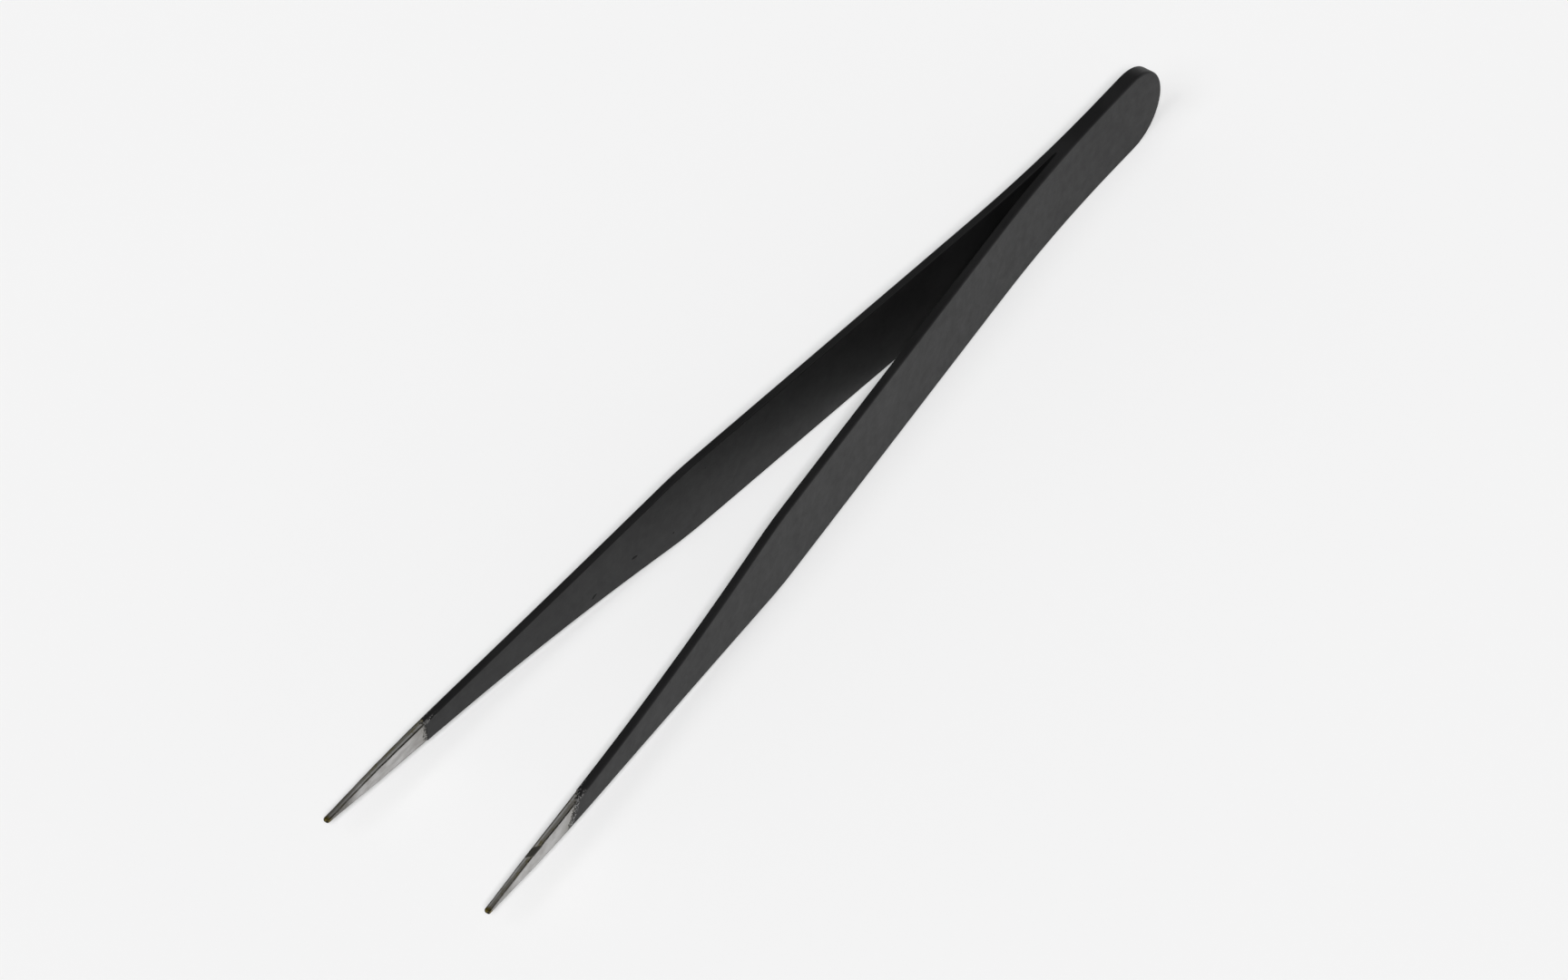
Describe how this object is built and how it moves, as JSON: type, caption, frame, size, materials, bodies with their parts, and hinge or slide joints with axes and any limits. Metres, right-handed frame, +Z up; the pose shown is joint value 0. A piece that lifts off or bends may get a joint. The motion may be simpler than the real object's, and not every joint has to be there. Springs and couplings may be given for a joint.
{
  "type": "tweezers",
  "caption": "Straight fine-point spring tweezers with a black coated body and bare steel points.",
  "frame": {"origin": "centre of the tweezers' bounding box, on the surface that their lower long edges stand on", "axes": "+X from the welded heel towards the points, +Y across the opening towards the left arm, +Z up along the width of the strips"},
  "size_m": [0.14, 0.0228, 0.011],
  "materials": {
    "spring_steel": "ground, fine scratches along the point",
    "black_coating": "matte black epoxy with a faint orange peel",
    "weld_metal": "as fused"
  },
  "bodies": {
    "heel": {"left_arm_heel": "spring_steel", "right_arm_heel": "spring_steel", "spot_welds": "weld_metal", "heel_coating": "black_coating"},
    "left_arm": {"left_arm_flexure": "spring_steel", "left_arm_blade": "spring_steel", "left_flexure_coating": "black_coating", "left_blade_coating": "black_coating"},
    "right_arm": {"right_arm_flexure": "spring_steel", "right_arm_blade": "spring_steel", "right_flexure_coating": "black_coating", "right_blade_coating": "black_coating"}
  },
  "joints": [
    {"name": "left_arm_squeeze", "type": "hinge", "parent": "heel", "child": "left_arm", "pos_m": [-0.03763, 0.00153, 0.00552], "axis": [0, 0, -1], "range_deg": [0, 5.67], "stiffness_Nm_per_rad": 2.8, "deforming": ["left_arm_flexure", "left_flexure_coating"]},
    {"name": "right_arm_squeeze", "type": "hinge", "parent": "heel", "child": "right_arm", "pos_m": [-0.03763, -0.00153, 0.00552], "axis": [0, 0, 1], "range_deg": [0, 5.67], "stiffness_Nm_per_rad": 2.8, "deforming": ["right_arm_flexure", "right_flexure_coating"]}
  ]
}
